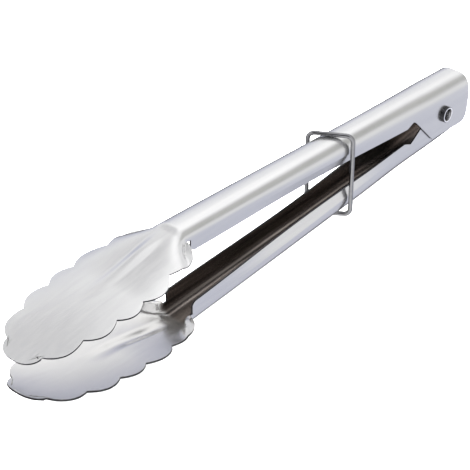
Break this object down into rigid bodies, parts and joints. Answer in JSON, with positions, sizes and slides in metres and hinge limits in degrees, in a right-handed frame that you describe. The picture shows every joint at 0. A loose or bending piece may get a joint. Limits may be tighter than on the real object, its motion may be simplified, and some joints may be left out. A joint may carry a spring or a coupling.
{
  "type": "spring loaded kitchen tongs",
  "caption": "Long steel kitchen tongs: two channel arms with scalloped heads on a hollow rivet, held by a sliding wire ring.",
  "frame": {"origin": "middle of the hollow rivet that joins the two arms", "axes": "+X from the heads towards the rivet, +Y along the rivet, +Z the way the upper arm opens"},
  "size_m": [0.3057, 0.0446, 0.0488],
  "materials": {
    "arm_steel": "polished stainless steel sheet",
    "rivet_steel": "polished tube",
    "spring_steel": "drawn spring wire",
    "ring_steel": "bright drawn wire"
  },
  "bodies": {
    "lower_arm": {"lower_arm": "arm_steel", "pivot_rivet": "rivet_steel", "torsion_spring": "spring_steel"},
    "upper_arm": {"upper_arm": "arm_steel"},
    "lock_ring": {"lock_ring": "ring_steel"}
  },
  "joints": [
    {"name": "jaw_pivot", "type": "hinge", "parent": "lower_arm", "child": "upper_arm", "pos_m": [0, 0, 0], "axis": [0, 1, 0], "range_deg": [-2.8, 2.9], "stiffness_Nm_per_rad": 8, "deforming": ["torsion_spring"]},
    {"name": "ring_slide", "type": "slide", "parent": "lower_arm", "child": "lock_ring", "axis": [-0.9991, 0, -0.042], "range_m": [-0.051, 0.049]}
  ],
  "couplings": [
    {"joint": "ring_slide", "follows": "jaw_pivot", "m_per_rad": -0.999}
  ]
}
